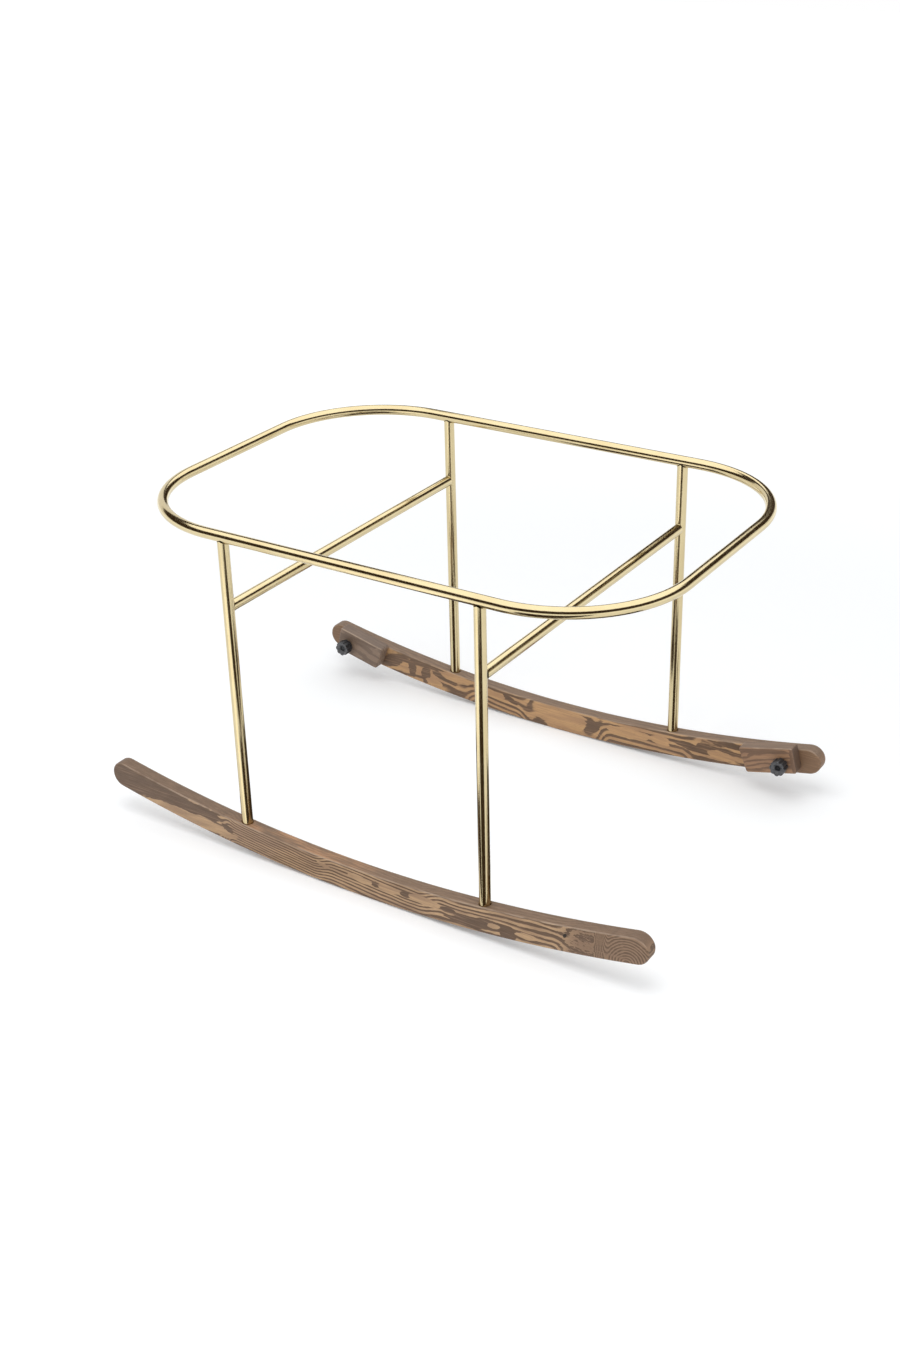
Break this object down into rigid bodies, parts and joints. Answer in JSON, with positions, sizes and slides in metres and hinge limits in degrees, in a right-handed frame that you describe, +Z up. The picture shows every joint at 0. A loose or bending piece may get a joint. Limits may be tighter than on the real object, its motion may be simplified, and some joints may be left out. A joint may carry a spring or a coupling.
{
  "type": "rocking bassinet stand",
  "caption": "Rocking stand for a baby basket: a rounded rectangular tube ring on tube legs with cross bars, set in curved wooden rockers with swing-down wooden stops.",
  "frame": {"origin": "on the floor, midway between the rockers and midway along them", "axes": "+X along the rockers and the ring's long side, +Y from the plain front rocker to the rear rocker with the stops, +Z up"},
  "size_m": [0.904, 0.578, 0.505],
  "materials": {
    "gold_tube": "satin champagne gold plating",
    "smoked_wood": "smoked, fine sanded and oiled",
    "stop_wood": "smoked, fine sanded and oiled",
    "knob_plastic": "satin black moulding",
    "zinc_steel": "bright zinc plating",
    "brass_insert": "plain turned brass"
  },
  "bodies": {
    "frame": {"basket_ring": "gold_tube", "leg_front_left": "gold_tube", "leg_front_right": "gold_tube", "leg_rear_left": "gold_tube", "leg_rear_right": "gold_tube", "cross_bar_left": "gold_tube", "cross_bar_right": "gold_tube", "rocker_front": "smoked_wood", "rocker_rear": "smoked_wood", "leg_plug_front_left": "zinc_steel", "leg_plug_front_right": "zinc_steel", "leg_plug_rear_left": "zinc_steel", "leg_plug_rear_right": "zinc_steel", "leg_bolt_front_left": "zinc_steel", "leg_bolt_front_right": "zinc_steel", "leg_bolt_rear_left": "zinc_steel", "leg_bolt_rear_right": "zinc_steel", "stud_left": "zinc_steel", "stud_right": "zinc_steel", "rocker_insert_left": "brass_insert", "rocker_insert_right": "brass_insert"},
    "stop_left": {"stop_left": "stop_wood"},
    "stop_right": {"stop_right": "stop_wood"},
    "knob_left": {"knob_left": "knob_plastic", "knob_insert_left": "brass_insert"},
    "knob_right": {"knob_right": "knob_plastic", "knob_insert_right": "brass_insert"}
  },
  "joints": [
    {"name": "stop_left_swing", "type": "hinge", "parent": "frame", "child": "stop_left", "pos_m": [-0.4, 0.2557, 0.06435], "axis": [0, 1, 0], "range_deg": [0, 68]},
    {"name": "stop_right_swing", "type": "hinge", "parent": "frame", "child": "stop_right", "pos_m": [0.4, 0.2557, 0.06435], "axis": [0, -1, 0], "range_deg": [0, 68]},
    {"name": "knob_left_turn", "type": "hinge", "parent": "frame", "child": "knob_left", "pos_m": [-0.4, 0.2348, 0.06435], "axis": [0, -1, 0], "range_deg": [0, 540]},
    {"name": "knob_right_turn", "type": "hinge", "parent": "frame", "child": "knob_right", "pos_m": [0.4, 0.2348, 0.06435], "axis": [0, -1, 0], "range_deg": [0, 540]}
  ]
}
